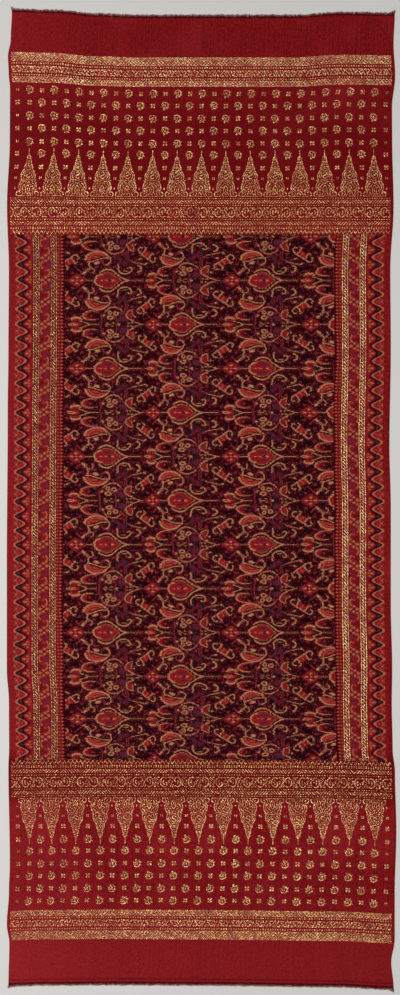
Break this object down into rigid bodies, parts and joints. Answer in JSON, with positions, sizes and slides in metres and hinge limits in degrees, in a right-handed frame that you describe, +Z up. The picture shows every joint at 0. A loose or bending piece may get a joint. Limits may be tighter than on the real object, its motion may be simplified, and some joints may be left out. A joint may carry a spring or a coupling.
{
  "type": "ikat cloth",
  "caption": "Long silk shoulder cloth laid flat, with a dark weft-ikat field, gold brocade borders, rolled hems and frayed ends.",
  "frame": {"origin": "middle of the cloth's outline, on the surface that it lies on", "axes": "+X across the cloth towards the picture's right, +Y along the cloth towards the head end, +Z up out of its face"},
  "size_m": [0.849, 2.1434, 0.0026],
  "materials": {
    "silk": "softly lustrous weft-faced silk",
    "head_fray_silk": "loose dull silk ends",
    "foot_fray_silk": "loose dull silk ends",
    "gold_thread": "worn gilt thread wound on a silk core"
  },
  "bodies": {
    "root": {"cloth": "silk", "head_fray": "head_fray_silk", "foot_fray": "foot_fray_silk"}
  },
  "joints": []
}
